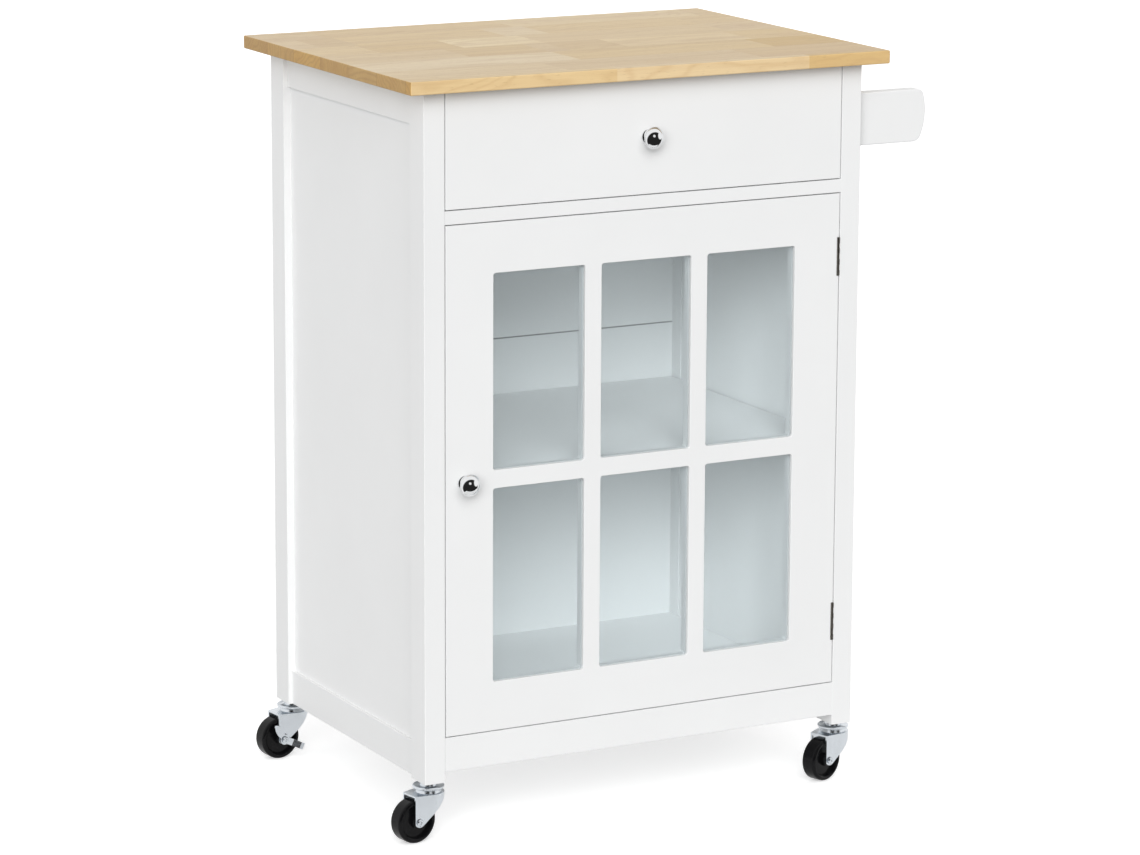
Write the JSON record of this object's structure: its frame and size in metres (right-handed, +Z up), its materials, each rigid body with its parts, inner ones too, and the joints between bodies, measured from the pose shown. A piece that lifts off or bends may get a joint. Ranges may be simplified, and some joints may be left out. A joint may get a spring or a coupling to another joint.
{
  "type": "kitchen_cart",
  "caption": "Rolling kitchen cart with a butcher block top, a white cabinet with one drawer and a glazed door, a towel rail and swivel casters",
  "frame": {"origin": "on the floor, in the middle of the cart's whole footprint", "axes": "+Z up, the front with its drawer and door faces -Y, the towel rail is on +X"},
  "size_m": [0.6789, 0.442, 0.854],
  "materials": {
    "butcher_block": "oiled light hardwood staves, satin",
    "white_paint": "satin white lacquer on wood",
    "drawer_box_white": "white foil on board",
    "pane_glass": "clear polished glass",
    "chrome_knob": "polished chrome plate",
    "dark_nickel": "dark nickel plate",
    "steel_hardware": "zinc-plated steel",
    "zinc_plate": "bright zinc-plated stamped steel",
    "wheel_black": "moulded black plastic",
    "catch_plastic": "moulded white plastic",
    "raw_beech": "plain turned beech"
  },
  "bodies": {
    "cabinet": {"worktop": "butcher_block", "leg_front_left": "white_paint", "leg_front_right": "white_paint", "leg_rear_left": "white_paint", "leg_rear_right": "white_paint", "side_panel_left": "white_paint", "side_panel_right": "white_paint", "side_top_rail_left": "white_paint", "side_top_rail_right": "white_paint", "side_bottom_rail_left": "white_paint", "side_bottom_rail_right": "white_paint", "front_middle_rail": "white_paint", "front_bottom_rail": "white_paint", "rear_top_rail": "white_paint", "rear_bottom_rail": "white_paint", "back_panel_upper": "white_paint", "back_panel_lower": "white_paint", "bottom_panel": "white_paint", "shelf": "white_paint", "shelf_pins": "steel_hardware", "cabinet_runners": "steel_hardware", "hinge_cabinet_leaves": "dark_nickel", "hinge_pins": "dark_nickel", "magnetic_catch": "catch_plastic", "towel_bracket_front": "white_paint", "towel_bracket_rear": "white_paint", "towel_bar": "white_paint", "caster_mounts": "zinc_plate", "frame_dowels": "raw_beech", "frame_screws": "steel_hardware"},
    "drawer": {"drawer_front": "white_paint", "drawer_side_left": "drawer_box_white", "drawer_side_right": "drawer_box_white", "drawer_back": "drawer_box_white", "drawer_bottom": "drawer_box_white", "drawer_runners": "steel_hardware", "drawer_knob": "chrome_knob", "drawer_knob_screw": "steel_hardware"},
    "door": {"door_frame": "white_paint", "door_glass": "pane_glass", "glass_retainer": "white_paint", "door_knob": "chrome_knob", "door_knob_screw": "steel_hardware", "hinge_door_leaves": "dark_nickel", "catch_strike": "steel_hardware"},
    "caster_front_left": {"caster_fork_front_left": "zinc_plate", "caster_axle_front_left": "zinc_plate"},
    "wheel_front_left": {"caster_wheel_front_left": "wheel_black"},
    "caster_front_right": {"caster_fork_front_right": "zinc_plate", "caster_axle_front_right": "zinc_plate"},
    "wheel_front_right": {"caster_wheel_front_right": "wheel_black"},
    "caster_rear_left": {"caster_fork_rear_left": "zinc_plate", "caster_axle_rear_left": "zinc_plate"},
    "wheel_rear_left": {"caster_wheel_rear_left": "wheel_black"},
    "brake_rear_left": {"brake_lever_rear_left": "zinc_plate"},
    "caster_rear_right": {"caster_fork_rear_right": "zinc_plate", "caster_axle_rear_right": "zinc_plate"},
    "wheel_rear_right": {"caster_wheel_rear_right": "wheel_black"},
    "brake_rear_right": {"brake_lever_rear_right": "zinc_plate"}
  },
  "joints": [
    {"name": "drawer_slide", "type": "slide", "parent": "cabinet", "child": "drawer", "axis": [0, -1, 0], "range_m": [0, 0.24]},
    {"name": "door_swing", "type": "hinge", "parent": "cabinet", "child": "door", "pos_m": [0.21731, -0.1988, 0.4055], "axis": [0, 0, 1], "range_deg": [0, 110]},
    {"name": "swivel_front_left", "type": "hinge", "parent": "cabinet", "child": "caster_front_left", "pos_m": [-0.29309, -0.1815, 0.059], "axis": [0, 0, 1], "continuous": true},
    {"name": "spin_front_left", "type": "hinge", "parent": "caster_front_left", "child": "wheel_front_left", "pos_m": [-0.31377, -0.18515, 0.025], "axis": [0.1736, -0.9848, 0], "continuous": true},
    {"name": "swivel_front_right", "type": "hinge", "parent": "cabinet", "child": "caster_front_right", "pos_m": [0.23191, -0.1815, 0.059], "axis": [0, 0, 1], "continuous": true},
    {"name": "spin_front_right", "type": "hinge", "parent": "caster_front_right", "child": "wheel_front_right", "pos_m": [0.21218, -0.18868, 0.025], "axis": [0.342, -0.9397, 0], "continuous": true},
    {"name": "swivel_rear_left", "type": "hinge", "parent": "cabinet", "child": "caster_rear_left", "pos_m": [-0.29309, 0.1835, 0.059], "axis": [0, 0, 1], "continuous": true},
    {"name": "spin_rear_left", "type": "hinge", "parent": "caster_rear_left", "child": "wheel_rear_left", "pos_m": [-0.31393, 0.18094, 0.025], "axis": [0.1219, -0.9925, 0], "continuous": true},
    {"name": "brake_rear_left", "type": "hinge", "parent": "caster_rear_left", "child": "brake_rear_left", "pos_m": [-0.31393, 0.18094, 0.025], "axis": [-0.1219, 0.9925, 0], "range_deg": [0, 25]},
    {"name": "swivel_rear_right", "type": "hinge", "parent": "cabinet", "child": "caster_rear_right", "pos_m": [0.23191, 0.1835, 0.059], "axis": [0, 0, 1], "continuous": true},
    {"name": "spin_rear_right", "type": "hinge", "parent": "caster_rear_right", "child": "wheel_rear_right", "pos_m": [0.21137, 0.17913, 0.025], "axis": [0.2079, -0.9781, 0], "continuous": true},
    {"name": "brake_rear_right", "type": "hinge", "parent": "caster_rear_right", "child": "brake_rear_right", "pos_m": [0.21137, 0.17913, 0.025], "axis": [-0.2079, 0.9781, 0], "range_deg": [0, 25]}
  ]
}
